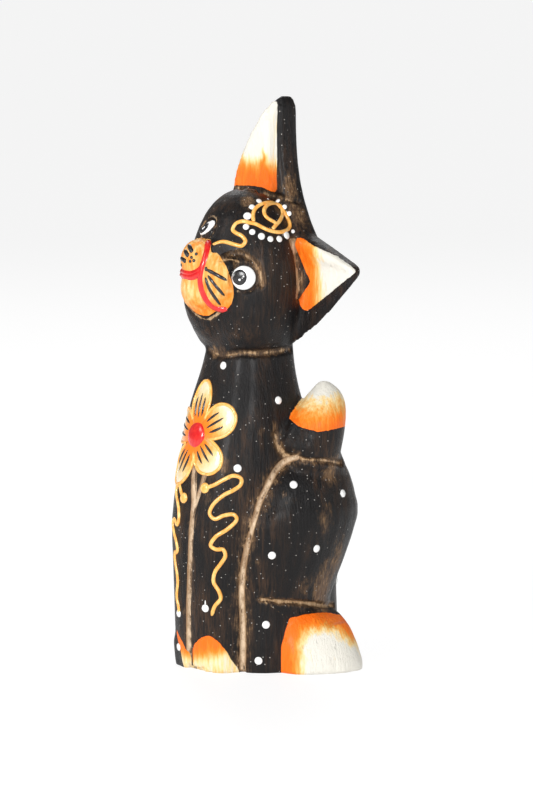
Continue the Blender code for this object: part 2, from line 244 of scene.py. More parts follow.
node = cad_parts["cat_figurine"]
blank_shape = bmesh.new()
blank_shape.from_mesh(node.data)
bmesh.ops.remove_doubles(blank_shape, verts=blank_shape.verts, dist=1e-6)
blank_mesh = bpy.data.meshes.new("blank")
blank_shape.to_mesh(blank_mesh)
blank_shape.free()
blank = bpy.data.objects.new("blank", blank_mesh)
bpy.context.scene.collection.objects.link(blank)
remesh = blank.modifiers.new("even mesh", "REMESH")
remesh.mode = "VOXEL"
remesh.voxel_size = VOXEL
remesh.adaptivity = 0.0
wood = bpy.data.meshes.new_from_object(blank.evaluated_get(bpy.context.evaluated_depsgraph_get()))
wood.name = "carved_cat"
bpy.data.objects.remove(blank, do_unlink=True)

relax(wood, np.ones(len(wood.vertices)), RELAX_ROUNDS)


def wood_tree():
    shape = bmesh.new()
    shape.from_mesh(wood)
    tree = BVHTree.FromBMesh(shape)
    shape.free()
    return tree


tree = wood_tree()
side_groove = fall_on(tree, SIDE_GROOVE)
front_groove = fall_on(tree, FRONT_GROOVE)
front_fork = fall_on(tree, FRONT_FORK)
points = read_points(wood)
near = np.full(len(points), 1.0)
for line in (side_groove, mirrored(side_groove), front_groove, front_fork):
    near = np.minimum(near, distance_to(points, line))
relax(wood, 1 - soft(near, HEAL_REACH * 0.6, HEAL_REACH), HEAL_ROUNDS)

tree = wood_tree()
side_groove = fall_on(tree, SIDE_GROOVE)
front_groove = fall_on(tree, FRONT_GROOVE)
front_fork = fall_on(tree, FRONT_FORK)
haunch_crease = fall_on(tree, HAUNCH_CREASE)
tail_crease = fall_on(tree, TAIL_CREASE)
ankle_ledge = fall_on(tree, ANKLE_LEDGE)
foot_ridge = fall_on(tree, FOOT_RIDGE)
neck_crease = fall_on(tree, NECK_CREASE)
brow = fall_on(tree, BROW)
brow_ridge = fall_on(tree, BROW_RIDGE)
chin_crease = fall_on(tree, CHIN_CREASE)
lip_creases = [fall_on(tree, line) for line in LIP_CREASES]
head_ear_groove = fall_on(tree, HEAD_EAR_GROOVE)
ear_fold = fall_on(tree, EAR_FOLD)
ear_root_crease = fall_on(tree, EAR_ROOT_CREASE)
eye_middles = [touch(tree, *EYE_RING[0]), touch(tree, *FAR_EYE_RING[0])]

# Line, half width, depth of each cut; the last ones are also cut on the cat's right
CUTS = [
    (front_fork, 0.0013, 0.0008), (tail_crease, 0.0018, 0.0007),
    (neck_crease, 0.0022, 0.0008), (brow, 0.0016, 0.0008), (chin_crease, 0.0015, 0.0006),
    (head_ear_groove, 0.0022, 0.0012), (ear_fold, 0.0022, 0.0006),
    (ear_root_crease, 0.0015, 0.0007), (front_groove, 0.0016, 0.0011),
    (haunch_crease, 0.0018, 0.0012),
    *((line, 0.0014, 0.0004) for line in lip_creases),
]
PAIRED_CUTS = [(side_groove, 0.0017, 0.0012), (ankle_ledge, 0.0014, 0.0012)]
cuts = CUTS + PAIRED_CUTS + [(mirrored(line), half, depth) for line, half, depth in PAIRED_CUTS]

# Finer mesh near the cuts and round the eyes
points = read_points(wood)
near = np.full(len(points), 1.0)
for line, _, _ in cuts:
    near = np.minimum(near, distance_to(points, line))
fine = near < FINE_REACH
for (middle, _), (_, radius) in zip(eye_middles, (EYE_RING, FAR_EYE_RING)):
    fine |= np.linalg.norm(points - np.array(middle), axis=1) < radius + 0.002
carving = bmesh.new()
carving.from_mesh(wood)
carving.verts.ensure_lookup_table()
fine_edges = [edge for edge in carving.edges
              if fine[edge.verts[0].index] and fine[edge.verts[1].index]]
bmesh.ops.subdivide_edges(carving, edges=fine_edges, cuts=1, use_grid_fill=True)
bmesh.ops.triangulate(carving, faces=[face for face in carving.faces if len(face.verts) > 4])
carving.to_mesh(wood)
carving.free()
relax(wood, np.full(len(wood.vertices), 1.0), 2)

# Each eye has a flat seat, as wide as its ring
points = read_points(wood)
normals = read_points(wood, "vertex_normals")
eye_seats = []
for (middle, _), (_, radius) in zip(eye_middles, (EYE_RING, FAR_EYE_RING)):
    middle = np.array(middle)
    near = np.linalg.norm(points - middle, axis=1)
    flat = normals[near < radius * 1.1].mean(axis=0)
    flat /= np.linalg.norm(flat)
    share = 1 - soft(near, radius * 0.95, radius * 1.35)
    points -= flat * ((points - middle) @ flat * share)[:, None]
    eye_seats.append((Vector(middle), Vector(flat)))
write_points(wood, points)

points = read_points(wood)
uncut = points.copy()
normals = read_points(wood, "vertex_normals")
sink = np.zeros(len(points))
for line, half, depth in cuts:
    gap = distance_to(points, line)
    sink = np.maximum(sink, depth * (1 - soft(gap, half * 0.25, half)))
for (middle, _), (_, radius) in zip(eye_middles, (EYE_RING, FAR_EYE_RING)):
    gap = abs(np.linalg.norm(points - np.array(middle), axis=1) - radius)
    sink = np.maximum(sink, EYE_RING_DEPTH * (1 - soft(gap, 0.0002, 0.0010)))

# Knife facets that sanding left: shallow, long up the grain
for turn, (across, upward) in enumerate(KNIFE_FACETS):
    wave = (np.sin(points[:, 0] / across * 2 + turn) + np.sin(points[:, 1] / across * 2.3)
            + np.sin(points[:, 2] / upward * 2.6 + points[:, 0] / across))
    sink += FACET_DEPTH * wave
points -= normals * sink[:, None]
points[points[:, 2] < BASE_SNAP, 2] = 0.0
write_points(wood, points)

cat = bpy.data.objects.new("carved_cat", wood)
bpy.context.scene.collection.objects.link(cat)
wood.shade_smooth()
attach(cat, "root")
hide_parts("cat_figurine")
tree = wood_tree()


# The block's own paint: near-black all over, rubbed through to brown wood at creases and
# edges, the grooves cut through it to bare wood, and ears, tail, feet, paws and muzzle
# brushed in orange that runs out to cream. A clear varnish covers all of it.
RAISED_EAR_COAT = ((231, 186), (232, 160), (246, 128), (262, 98), (274, 101), (277.5, 106),
                   (277, 140), (276.8, 170), (276.6, 190), (271, 191.4), (262, 187.8),
                   (250, 185.8), (238, 185.6))
LOWERED_EAR_COAT = ((297, 238), (303, 238), (311, 244), (323.5, 250), (340, 257), (352, 261.5),
                    (356.5, 268.5), (355, 273), (343, 282.5), (328, 295), (315, 305), (307, 311),
                    (301, 307), (299, 299), (309.5, 283), (308, 277), (301, 260), (295, 246))
MUZZLE_COAT = ((206, 238.8), (211, 240.4), (211.5, 252), (218, 253.5), (226, 266), (231, 279),
               (234, 292.6), (229, 308), (217, 311), (207.7, 316), (197.5, 314), (188, 306),
               (182, 300), (170, 290), (170, 256), (181, 249), (188.6, 242.6), (195.6, 239),
               (202, 238))
TAIL_COAT_EDGE = ((275, 408), (287.4, 416.8), (297.7, 426.3), (318, 432.2), (334.6, 429.5),
                  (350, 425))
FOOT_COAT = ((282, 720), (281, 655), (283, 640), (289, 619.8), (296, 616.6), (304, 614.6),
             (314, 613.2), (325, 612.4), (334, 613.6), (345, 617), (360, 628), (400, 650), (400, 720))
PATCH = ((211.6, 248), (215.5, 244.4), (222.4, 243.4), (231.3, 244.8), (240, 247.2),
         (234, 249.4), (226, 252), (218.6, 255), (214, 253.4))
PAW_ARCH = ((0.9, -1), (1.0, 4), (1.6, 8), (4.5, 11.8), (9, 14.4), (12.5, 13.8), (16, 10.4),
            (19, 5.6), (21.2, -1))      # mm across from the chest's middle, and up
RIGHT_PAW_LEAF = ((-0.8, -1), (-1.2, 4), (-3.4, 9), (-7.0, 12.6), (-9.4, 14.4), (-8.4, 10.5),
                  (-6.2, 6), (-5.0, -1))
TRUNK_BESIDE_TAIL = (     # mm: height, half width, half depth, how far ahead its middle is
    (80, 22.8, 27.8, 9.2), (90, 22.0, 24.8, 10.6), (102, 20.2, 20.5, 11.9), (112, 17.8, 17.5, 11.5),
)
TRUNK_AXIS_Y = -0.0105
PAW_RADIUS = 0.031
MUZZLE_MIDDLE = Vector((-0.003, -0.030, 0.152))
MUZZLE_RADIUS = 0.0150
FOOT_TURN = math.radians(24)
EYE_RIMS = (0.30, 0.62)   # how far paint is rubbed off round each eye
WORN_SPOTS = (            # pixel, radius in metres, strength
    ((247, 201), 0.0034, 1.0), ((290, 188), 0.0040, 0.9), ((299, 214), 0.0048, 0.8),
    ((286, 220), 0.0034, 0.5), ((245, 296), 0.0016, 0.45), ((216, 353), 0.0022, 1.0),
    ((331, 470), 0.0045, 1.0), ((322, 588), 0.0075, 0.9), ((336, 560), 0.0060, 0.8),
    ((326, 520), 0.0060, 0.5), ((304, 590), 0.0050, 0.5), ((224, 466), 0.0030, 0.6),
    ((275, 428), 0.0022, 0.8), ((262, 432), 0.0018, 0.5), ((288, 500), 0.0035, 0.4),
    ((208, 500), 0.0030, 0.5), ((220, 640), 0.0040, 0.4), ((262, 480), 0.0030, 0.5),
    ((236, 262), 0.0030, 0.5), ((214, 226), 0.0018, 0.6), ((256, 560), 0.0030, 0.4),
)


def to_pixels(points):
    """Where the camera sees each point, in pixels of the photo."""
    seen = (points - np.array(camera.location)) @ np.array(camera.rotation_euler.to_matrix())
    return np.stack((PHOTO_MIDDLE[0] - seen[:, 0] / seen[:, 2] * FOCAL_PIXELS,
                     PHOTO_MIDDLE[1] + seen[:, 1] / seen[:, 2] * FOCAL_PIXELS), axis=1)


def depth_inside(points, outline):
    """How far each flat point lies inside a closed outline; below 0 outside it."""
    outline = np.array(smooth_line((*outline, outline[0]), 4))[:-1]
    nearest = np.full(len(points), 1e9)
    inside = np.zeros(len(points), bool)
    for start, end in zip(outline, np.roll(outline, -1, axis=0)):
        span = end - start
        share = np.clip((points - start) @ span / (span @ span), 0, 1)
        nearest = np.minimum(nearest, np.linalg.norm(points - start - share[:, None] * span, axis=1))
        crosses = (start[1] > points[:, 1]) != (end[1] > points[:, 1])
        rise = span[1] if span[1] else 1e-9
        inside ^= crosses & (points[:, 0] < start[0] + span[0] * (points[:, 1] - start[1]) / rise)
    return np.where(inside, nearest, -nearest)


points = read_points(wood)
normals = read_points(wood, "vertex_normals")
pixels = to_pixels(points)
metres_per_pixel = CAMERA_DISTANCE / FOCAL_PIXELS
millimetres = points * 1000
across, ahead, up = millimetres.T
ahead = -ahead
to_camera = (normals @ np.array(backwards))

# Each coat: how far inside it a point is in millimetres, and how far its colour has run
# from orange at 0 to cream at 1
coats = []

faces_front = (-normals[:, 1] - 0.12) * 5
raised_ear = np.minimum(depth_inside(pixels, RAISED_EAR_COAT) * metres_per_pixel * 1000, faces_front)
raised_ear = np.where(up > 176, raised_ear, -9)
wobble = 0.8 * np.sin(pixels[:, 1] * 0.45)
fold = (np.exp(-((pixels[:, 0] - 263.6 - wobble) / 2.2) ** 2) * 5.2
        - soft(pixels[:, 0], 265.5, 270.0) * 1.5
        + np.exp(-((pixels[:, 0] - 243.5) / 3.0) ** 2) * 2.0)
coats.append((raised_ear, soft(up - fold, 187.5, 199.5) - 0.12 * soft(pixels[:, 0], 264, 268)))

lowered_ear = np.minimum(depth_inside(pixels, LOWERED_EAR_COAT) * metres_per_pixel * 1000, faces_front)
lowered_ear = np.where((across > 9) & (up < 176) & (up > 126), lowered_ear, -9)
coats.append((lowered_ear, soft(pixels[:, 0] - 0.12 * (pixels[:, 1] - 240), 300, 326)))

heights, *profile = zip(*TRUNK_BESIDE_TAIL)
trunk_half, trunk_deep, trunk_middle = (np.interp(up, heights, row) for row in profile)
squared = abs(across / trunk_half) ** 2.5 + abs((ahead - trunk_middle) / trunk_deep) ** 2.5
off_trunk = (squared ** 0.4 - 1.03) * 20
tail_edge = np.interp(pixels[:, 0], *zip(*TAIL_COAT_EDGE)) - pixels[:, 1]
tail = np.minimum(off_trunk, tail_edge * metres_per_pixel * 1000)
tail = np.where((across > 12) & (up > 84) & (up < 114), tail, -9)
coats.append((tail, np.clip((tail_edge - 2.0) / 42.0, 0, 1)))

# Both feet are painted alike: the right one by where its mirror image is seen
twin_pixels = to_pixels(np.stack((abs(points[:, 0]), points[:, 1], points[:, 2]), axis=1))
foot = depth_inside(twin_pixels, FOOT_COAT) * metres_per_pixel * 1000
foot_fade = soft(foot, 0.6, 11.5) - 0.22 * soft(-twin_pixels[:, 0], -326, -290)
foot_across = abs(across) - 26.0
foot_turned = (foot_across * math.cos(FOOT_TURN) + ahead * math.sin(FOOT_TURN),
               foot_across * math.sin(FOOT_TURN) - ahead * math.cos(FOOT_TURN))
on_foot = (1.15 - np.maximum(abs(foot_turned[0]) / 15.4, abs(foot_turned[1]) / 17.6)) * 15
foot = np.where((up < 25) & (abs(across) > 12), np.minimum(foot, on_foot), -9)
coats.append((foot, foot_fade))

round_chest = np.arctan2(across, ahead + TRUNK_AXIS_Y * 1000) * PAW_RADIUS * 1000
paw = np.maximum(depth_inside(np.stack((round_chest, up), axis=1), PAW_ARCH),
                 depth_inside(np.stack((round_chest, up), axis=1), RIGHT_PAW_LEAF))
paw = np.where((ahead > 20) & (up < 20), paw, -9)
coats.append((paw, soft(-up - 0.25 * (9 - abs(round_chest)), -10.5, -3.0) * 0.66))

muzzle = depth_inside(pixels, MUZZLE_COAT) * metres_per_pixel * 1000
bulge = (MUZZLE_RADIUS - np.linalg.norm(points - np.array(MUZZLE_MIDDLE), axis=1)) * 1000
muzzle = np.where(to_camera > 0.15, muzzle, np.minimum(bulge, faces_front + 1.5))
muzzle = np.where((ahead > 22) & (up > 134) & (up < 170), muzzle, -9)
low_lip = soft(pixels[:, 1], 296, 310) * soft(pixels[:, 0], 180, 196)
coats.append((muzzle, 0.41 - 0.15 * low_lip - 0.08 * soft(pixels[:, 0], 222, 232)
              + 0.10 * soft(-abs(pixels[:, 0] - 188) - abs(pixels[:, 1] - 288) * 0.4, -11, 0)))

coat_depth = np.full(len(points), -9.0)
coat_fade = np.zeros(len(points))
for depth, fade in coats:
    coat_fade = np.where(depth > coat_depth, fade, coat_fade)
    coat_depth = np.maximum(coat_depth, depth)

bare_lines = (side_groove, mirrored(side_groove), front_groove, front_fork)
bare = np.full(len(points), 1.0)
for line in bare_lines:
    bare = np.minimum(bare, distance_to(uncut, line))
bare = np.minimum(bare, distance_to(uncut, head_ear_groove) + 0.00045)
bare = np.minimum(bare, distance_to(uncut, front_groove) - 0.00035)
patch = depth_inside(pixels, PATCH) * metres_per_pixel * 1000
patch = np.where(to_camera > 0.1, patch, -9)

# Paint rubbed off along the lips of the cuts, in two widths: a light rim and a brown halo
rubbed_edge = np.zeros(len(points))
worn = np.zeros(len(points))
worn_lines = (            # line, its rim's half width, strength of rim and halo
    (haunch_crease, 0.0008, 0.75, 0.8), (tail_crease, 0.0011, 0.75, 0.8),
    (neck_crease, 0.0007, 0.60, 0.70), (ankle_ledge, 0.0008, 0.95, 0.85),
    (mirrored(ankle_ledge), 0.0009, 0.9, 0.6), (brow, 0.0011, 0.55, 0.72),
    (brow_ridge, 0.0004, 1.1, 0.6),
    (chin_crease, 0.0007, 0.8, 0.4), (head_ear_groove, 0.0014, 1.0, 0.8),
    (ear_root_crease, 0.0008, 0.45, 0.6), (side_groove, 0.0020, 0.7, 0.62),
    (mirrored(side_groove), 0.0020, 0.7, 0.62), (front_groove, 0.0017, 0.5, 0.4),
    (foot_ridge, 0.0005, 0.7, 0.3),
)
for line, reach, rim, halo in worn_lines:
    gap = distance_to(uncut, line)
    rubbed_edge = np.maximum(rubbed_edge, rim * np.exp(-(gap / reach) ** 2))
    worn = np.maximum(worn, halo * np.exp(-(gap / (reach * 2.4)) ** 2))
for pixel, radius, strength in WORN_SPOTS:
    middle = np.array(touch(tree, *pixel)[0])
    for centre, share in ((middle, 1.0), (middle * np.array((-1, 1, 1)), 0.7)):
        stretch = (points - centre) * np.array((1, 1, 0.55))
        worn = np.maximum(worn, share * strength
                          * np.exp(-(np.linalg.norm(stretch, axis=1) / radius) ** 2))
for (middle, _), (_, radius), rim in zip(eye_middles, (EYE_RING, FAR_EYE_RING), EYE_RIMS):
    gap = abs(np.linalg.norm(uncut - np.array(middle), axis=1) - radius * 1.12)
    rubbed_edge = np.maximum(rubbed_edge, rim * np.exp(-(gap / 0.0006) ** 2))

for name, values in (("coat_depth", coat_depth), ("coat_fade", coat_fade),
                     ("groove_gap", bare * 1000), ("worn", worn),
                     ("rubbed_edge", rubbed_edge), ("patch", patch)):
    attribute = wood.attributes.new(name, "FLOAT", "POINT")
    attribute.data.foreach_set("value", values.astype(np.float32))


class Bench:
    """Adds shader nodes to one material and joins them up."""

    def __init__(self, name):
        self.material = bpy.data.materials.new(name)
        self.material.use_nodes = True
        self.tree = self.material.node_tree
        self.shader = self.tree.nodes["Principled BSDF"]
        self.place = self.tree.nodes.new("ShaderNodeTexCoord").outputs["Object"]

    def join(self, value, socket):
        if isinstance(value, bpy.types.NodeSocket):
            self.tree.links.new(value, socket)
        else:
            socket.default_value = value

    def attribute(self, name):
        made = self.tree.nodes.new("ShaderNodeAttribute")
        made.attribute_name = name
        return made.outputs["Fac"]

    def sums(self, operation, first, second, third=None):
        made = self.tree.nodes.new("ShaderNodeMath")
        made.operation = operation
        self.join(first, made.inputs[0])
        self.join(second, made.inputs[1])
        if third is not None:
            self.join(third, made.inputs[2])
        return made.outputs[0]

    def stretched(self, scale):
        made = self.tree.nodes.new("ShaderNodeMapping")
        made.inputs["Scale"].default_value = scale
        self.tree.links.new(self.place, made.inputs["Vector"])
        return made.outputs[0]

    def noise(self, scale, stretch=(1, 1, 1), detail=4, roughness=0.6):
        made = self.tree.nodes.new("ShaderNodeTexNoise")
        made.inputs["Scale"].default_value = scale
        made.inputs["Detail"].default_value = detail
        made.inputs["Roughness"].default_value = roughness
        self.tree.links.new(self.stretched(stretch), made.inputs["Vector"])
        return made.outputs["Fac"]

    def cells(self, scale, stretch=(1, 1, 1)):
        made = self.tree.nodes.new("ShaderNodeTexVoronoi")
        made.inputs["Scale"].default_value = scale
        self.tree.links.new(self.stretched(stretch), made.inputs["Vector"])
        return made.outputs["Distance"], made.outputs["Color"]

    def ranged(self, value, low, high, to_low=0.0, to_high=1.0):
        made = self.tree.nodes.new("ShaderNodeMapRange")
        made.interpolation_type = "SMOOTHSTEP"
        self.join(value, made.inputs["Value"])
        for socket, number in zip(("From Min", "From Max", "To Min", "To Max"),
                                  (low, high, to_low, to_high)):
            made.inputs[socket].default_value = number
        return made.outputs[0]

    def blend(self, share, first, second):
        made = self.tree.nodes.new("ShaderNodeMix")
        made.data_type = "RGBA"
        self.join(share, made.inputs["Factor"])
        self.join(first, made.inputs["A"])
        self.join(second, made.inputs["B"])
        return made.outputs["Result"]

    def ramp(self, value, stops):
        made = self.tree.nodes.new("ShaderNodeValToRGB")
        made.color_ramp.elements.remove(made.color_ramp.elements[1])
        made.color_ramp.elements[0].position = stops[0][0]
        made.color_ramp.elements[0].color = stops[0][1]
        for position, colour in stops[1:]:
            made.color_ramp.elements.new(position).color = colour
        self.tree.links.new(value, made.inputs["Fac"])
        return made.outputs["Color"]

    def varnish(self, weight, roughness):
        self.shader.inputs["Coat Weight"].default_value = weight
        self.shader.inputs["Coat Roughness"].default_value = roughness

    def bump(self, height, distance):
        made = self.tree.nodes.new("ShaderNodeBump")
        made.inputs["Distance"].default_value = distance
        self.tree.links.new(height, made.inputs["Height"])
        self.tree.links.new(made.outputs[0], self.shader.inputs["Normal"])


BLACK = (0.0045, 0.0037, 0.0039, 1)
UMBER = (0.052, 0.026, 0.013, 1)
GREY_PATCH = (0.040, 0.038, 0.040, 1)
WORN_BROWN = (0.115, 0.060, 0.027, 1)
WORN_LIGHT = (0.34, 0.200, 0.095, 1)
RIM_WOOD = (0.58, 0.400, 0.230, 1)
BARE_WOOD = (0.27, 0.150, 0.070, 1)
BARE_PALE = (0.80, 0.620, 0.430, 1)
DEEP_ORANGE = (0.96, 0.165, 0.006, 1)
ORANGE = (0.96, 0.235, 0.014, 1)
GOLD_YELLOW = (0.84, 0.390, 0.085, 1)
PALE_YELLOW = (0.90, 0.660, 0.300, 1)
CREAM = (0.78, 0.750, 0.670, 1)
SPECK = (0.70, 0.660, 0.610, 1)

bench = Bench("painted wood")
grain = bench.noise(1500, (1, 1, 0.10), 5, 0.7)
streak = bench.noise(420, (1, 1, 0.13), 4, 0.6)
cloud = bench.noise(75, (1, 1, 0.45), 3, 0.5)
mottle = bench.noise(1100, (1, 1, 1), 3, 0.6)
flake = bench.noise(330, (1, 1, 0.6), 7, 0.72)
brush = bench.noise(620, (1, 1, 0.16), 3, 0.6)
tone = bench.sums("MULTIPLY", bench.ranged(cloud, 0.36, 0.64), bench.ranged(streak, 0.36, 0.66))
tone = bench.sums("MULTIPLY", tone, bench.ranged(grain, 0.34, 0.58))
colour = bench.blend(tone, BLACK, UMBER)
rubbed = bench.sums("ADD", bench.attribute("worn"),
                    bench.sums("MULTIPLY_ADD", flake, 1.7, -0.88))
rubbed = bench.sums("ADD", rubbed, bench.sums("MULTIPLY_ADD", grain, 0.4, -0.20))
worn_share = bench.ranged(rubbed, 0.25, 0.95)
worn_colour = bench.blend(bench.ranged(grain, 0.44, 0.66), WORN_BROWN, WORN_LIGHT)
colour = bench.blend(bench.sums("MULTIPLY", worn_share, 0.85), colour, worn_colour)
chips = bench.sums("ADD", bench.attribute("rubbed_edge"),
                   bench.sums("MULTIPLY_ADD", flake, 2.2, -1.15))
chips = bench.ranged(chips, 0.40, 0.66)
colour = bench.blend(bench.sums("MULTIPLY", chips, 0.85), colour,
                     bench.blend(bench.ranged(grain, 0.42, 0.60), WORN_LIGHT, RIM_WOOD))
gap = bench.sums("ADD", bench.attribute("groove_gap"),
                 bench.sums("MULTIPLY_ADD", flake, 0.5, -0.25))
bare_share = bench.ranged(gap, 1.22, 1.04)
bare_tone = bench.sums("MULTIPLY", bench.ranged(bench.attribute("groove_gap"), 1.25, 0.35),
                       bench.ranged(flake, 0.36, 0.60, 0.25))
bare_tone = bench.sums("MULTIPLY", bare_tone, bench.ranged(streak, 0.30, 0.58, 0.35))
bare_colour = bench.blend(bare_tone, BARE_WOOD, BARE_PALE)
in_groove = bench.sums("MAXIMUM", bench.attribute("groove_gap"), 0.0)
soot = bench.ranged(bench.sums("MULTIPLY_ADD", flake, 2.4, in_groove), 1.28, 1.02)
bare_colour = bench.blend(bench.sums("MULTIPLY", soot, 0.75), bare_colour, UMBER)
colour = bench.blend(bench.sums("MULTIPLY", bare_share, 0.92), colour, bare_colour)
pore_gap, _ = bench.cells(430, (1, 1, 0.28))
pore = bench.sums("MULTIPLY", bench.ranged(pore_gap, 0.16, 0.08), bench.ranged(cloud, 0.50, 0.60))
colour = bench.blend(bench.sums("MULTIPLY", pore, 0.8), colour, BLACK)
coat_edge = bench.sums("ADD", bench.attribute("coat_depth"),
                       bench.sums("MULTIPLY_ADD", brush, 0.9, -0.45))
coat_share = bench.ranged(coat_edge, -0.05, 0.12)
run = bench.sums("ADD", bench.attribute("coat_fade"), bench.sums("MULTIPLY_ADD", brush, 0.85, -0.42))
coat_colour = bench.ramp(run, ((0.0, DEEP_ORANGE), (0.22, ORANGE), (0.42, GOLD_YELLOW),
                               (0.62, PALE_YELLOW), (0.85, CREAM)))
patched = bench.sums("ADD", bench.attribute("patch"),
                     bench.sums("MULTIPLY_ADD", flake, 0.8, -0.4))
colour = bench.blend(bench.ranged(patched, -0.05, 0.15), colour, GREY_PATCH)
speck_gap, speck_kind = bench.cells(600)
specked = bench.sums("MULTIPLY", bench.ranged(speck_gap, 0.13, 0.07),
                     bench.ranged(speck_kind, 0.42, 0.60))
specked = bench.sums("MULTIPLY", specked, bench.sums("SUBTRACT", 1.0, coat_share))
colour = bench.blend(bench.sums("MULTIPLY", specked, 0.85), colour, SPECK)
colour = bench.blend(coat_share, colour, coat_colour)
bench.join(colour, bench.shader.inputs["Base Color"])
matt = bench.sums("MULTIPLY_ADD", grain, 0.40, 0.20)
matt = bench.sums("MULTIPLY_ADD", bare_share, 0.10, matt)
bench.join(matt, bench.shader.inputs["Roughness"])
bench.varnish(0.06, 0.20)
bench.shader.inputs["Specular IOR Level"].default_value = 0.22
relief = bench.sums("MULTIPLY_ADD", grain, 0.8, streak)
relief = bench.sums("MULTIPLY_ADD", mottle, 0.25, relief)
relief = bench.sums("MULTIPLY_ADD", pore, -0.6, relief)
relief = bench.sums("MULTIPLY_ADD", coat_share, 0.6, relief)
bench.bump(relief, 0.00055)
wood.materials.clear()
wood.materials.append(bench.material)


# The eyes: a round of thick white enamel for each, let run into a low dome inside the
# ring that the gouge cut, a black pupil on it that looks to the cat's right, and on the
# pupil three small white domes, which are painted highlights.
EYES = (                  # radius, share of it across, pupil's middle in pixels, its radius
    (0.0046, 1.0, (239.9, 277.4), 0.0030),
    (0.0044, 0.50, (206.2, 228.8), 0.0031),
)
FAR_EYE_CORNERS = ((201.4, 233.5), (213.8, 222.4))
WHITE_HEIGHT = 0.0012
PUPIL_LIFT = 0.00080      # over the eye's seat
PUPIL_HEIGHT = 0.00065
# Painted highlights: three small white domes on each pupil
PAINTED_HIGHLIGHTS = (                # up and aside in shares of the pupil's radius, own radius
    (-0.28, -0.10, 0.00050), (0.14, 0.40, 0.00036), (-0.06, 0.24, 0.00024),
)
HIGHLIGHT_LIFT = 0.00056      # over the pupil's middle
HIGHLIGHT_HEIGHT = 0.00016
ENAMEL_VARNISH = (0.35, 0.12)                # weight, roughness
ENAMEL_BUMP = 0.00005


def dome(shape, place, normal, radius, height, segments=32, along=None, squash=1.0):
    """A low round of thick paint on the wood, half sunk, or an oval along a direction."""
    turn = Vector(normal).to_track_quat("Z", "Y").to_matrix().to_4x4()
    if along is not None:
        ahead = (along - normal * along.dot(normal)).normalized()
        turn = Matrix((ahead, Vector(normal).cross(ahead), normal)).transposed().to_4x4()
    size = Matrix.Diagonal((radius, radius * squash, height, 1))
    bmesh.ops.create_uvsphere(shape, u_segments=segments, v_segments=segments // 2, radius=1,
                              matrix=Matrix.Translation(place) @ turn @ size)


def finish_piece(name, shape, material):
    """Makes a painted piece of its mesh, on the cat."""
    mesh = bpy.data.meshes.new(name)
    shape.to_mesh(mesh)
    shape.free()
    mesh.shade_smooth()
    mesh.materials.append(material)
    made = bpy.data.objects.new(name, mesh)
    bpy.context.scene.collection.objects.link(made)
    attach(made, "root")
    return made


def enamel(name, colour, second, roughness=0.24, scale=700):
    """Thick brushed enamel that isn't quite one colour, with a soft gloss."""
    bench = Bench(name)
    cloud = bench.noise(scale, (1, 1, 0.6), 3, 0.55)
    bench.join(bench.blend(bench.ranged(cloud, 0.38, 0.66), colour, second),
               bench.shader.inputs["Base Color"])
    bench.join(bench.sums("MULTIPLY_ADD", cloud, 0.16, roughness - 0.08),
               bench.shader.inputs["Roughness"])
    bench.varnish(*ENAMEL_VARNISH)
    bench.bump(cloud, ENAMEL_BUMP)
    return bench.material


white_enamel = enamel("white enamel", (0.88, 0.88, 0.87, 1), (0.80, 0.80, 0.78, 1))
black_enamel = enamel("black enamel", (0.008, 0.008, 0.010, 1), (0.020, 0.018, 0.018, 1))
whites = bmesh.new()
pupils = bmesh.new()
highlight_domes = bmesh.new()
slant = touch(tree, *FAR_EYE_CORNERS[1])[0] - touch(tree, *FAR_EYE_CORNERS[0])[0]
for (place, normal), (eye_radius, squash, pupil_pixel, pupil_radius) in zip(eye_seats, EYES):
    dome(whites, place, normal, eye_radius, WHITE_HEIGHT, 40, slant, squash)
    sight = touch(tree, *pupil_pixel)[0] - place
    pupil_place = place + sight - normal * sight.dot(normal) + normal * PUPIL_LIFT
    dome(pupils, pupil_place, normal, pupil_radius, PUPIL_HEIGHT, 32, slant, squash)
    upward = (Vector((0, 0, 1)) - normal * normal.z).normalized()
    sideways = upward.cross(normal)
    # painted highlights: three white domes on each pupil
    for lift, aside, radius in PAINTED_HIGHLIGHTS:
        spot = pupil_place + (upward * lift + sideways * aside) * pupil_radius * squash
        dome(highlight_domes, spot + normal * HIGHLIGHT_LIFT, normal, radius, HIGHLIGHT_HEIGHT, 12)
finish_piece("eye_whites", whites, white_enamel)
finish_piece("pupils", pupils, black_enamel)
finish_piece("painted_eye_highlights", highlight_domes, white_enamel)


# The mouth: strokes of red enamel in the creases between the cheek pads and the lower
# lip, doubled on the cat's right, with the nose's stem above them, and on the pads black
# whiskers and freckles.
RED_WIDTH = 0.0031
RED_HEIGHT = 0.0010
WHISKER_SIZE = (0.0015, 0.0005)              # width, height
SLASH_SIZE = (0.0019, 0.00055)
FRECKLE_SIZE = (0.00066, 0.0004)             # radius, height
MOUTH = (
    ((208.4, 240), (207.5, 249), (205, 259), (201.5, 270), (200.5, 281), (203, 292.6),
     (209, 303), (216.6, 308.2), (227.5, 309.5)),
    ((204, 265), (199.5, 270.5), (192, 273.8), (185, 273), (178, 270.6)),
    ((203.5, 268.5), (198.5, 273.2), (191.5, 276.2), (184.5, 275.2), (178, 273)),
)
WHISKERS = (
    ((206.4, 269.6), (215, 274), (226.8, 280.5)),
    ((207.7, 275.4), (215, 285), (224.3, 295.8)),
    ((205.2, 277.3), (210, 290), (220.5, 305.3)),
    ((205.8, 266.5), (206.2, 271.5)),
)
SLASHES = (
    ((188.4, 244.8), (192.4, 252.6)), ((184.4, 250.2), (188.6, 256.8)),
    ((180.8, 258.2), (186.2, 262)),
)
FRECKLES = ((196.2, 254), (190.2, 261.3), (193.9, 260.6), (181.6, 265), (191.5, 257.5))


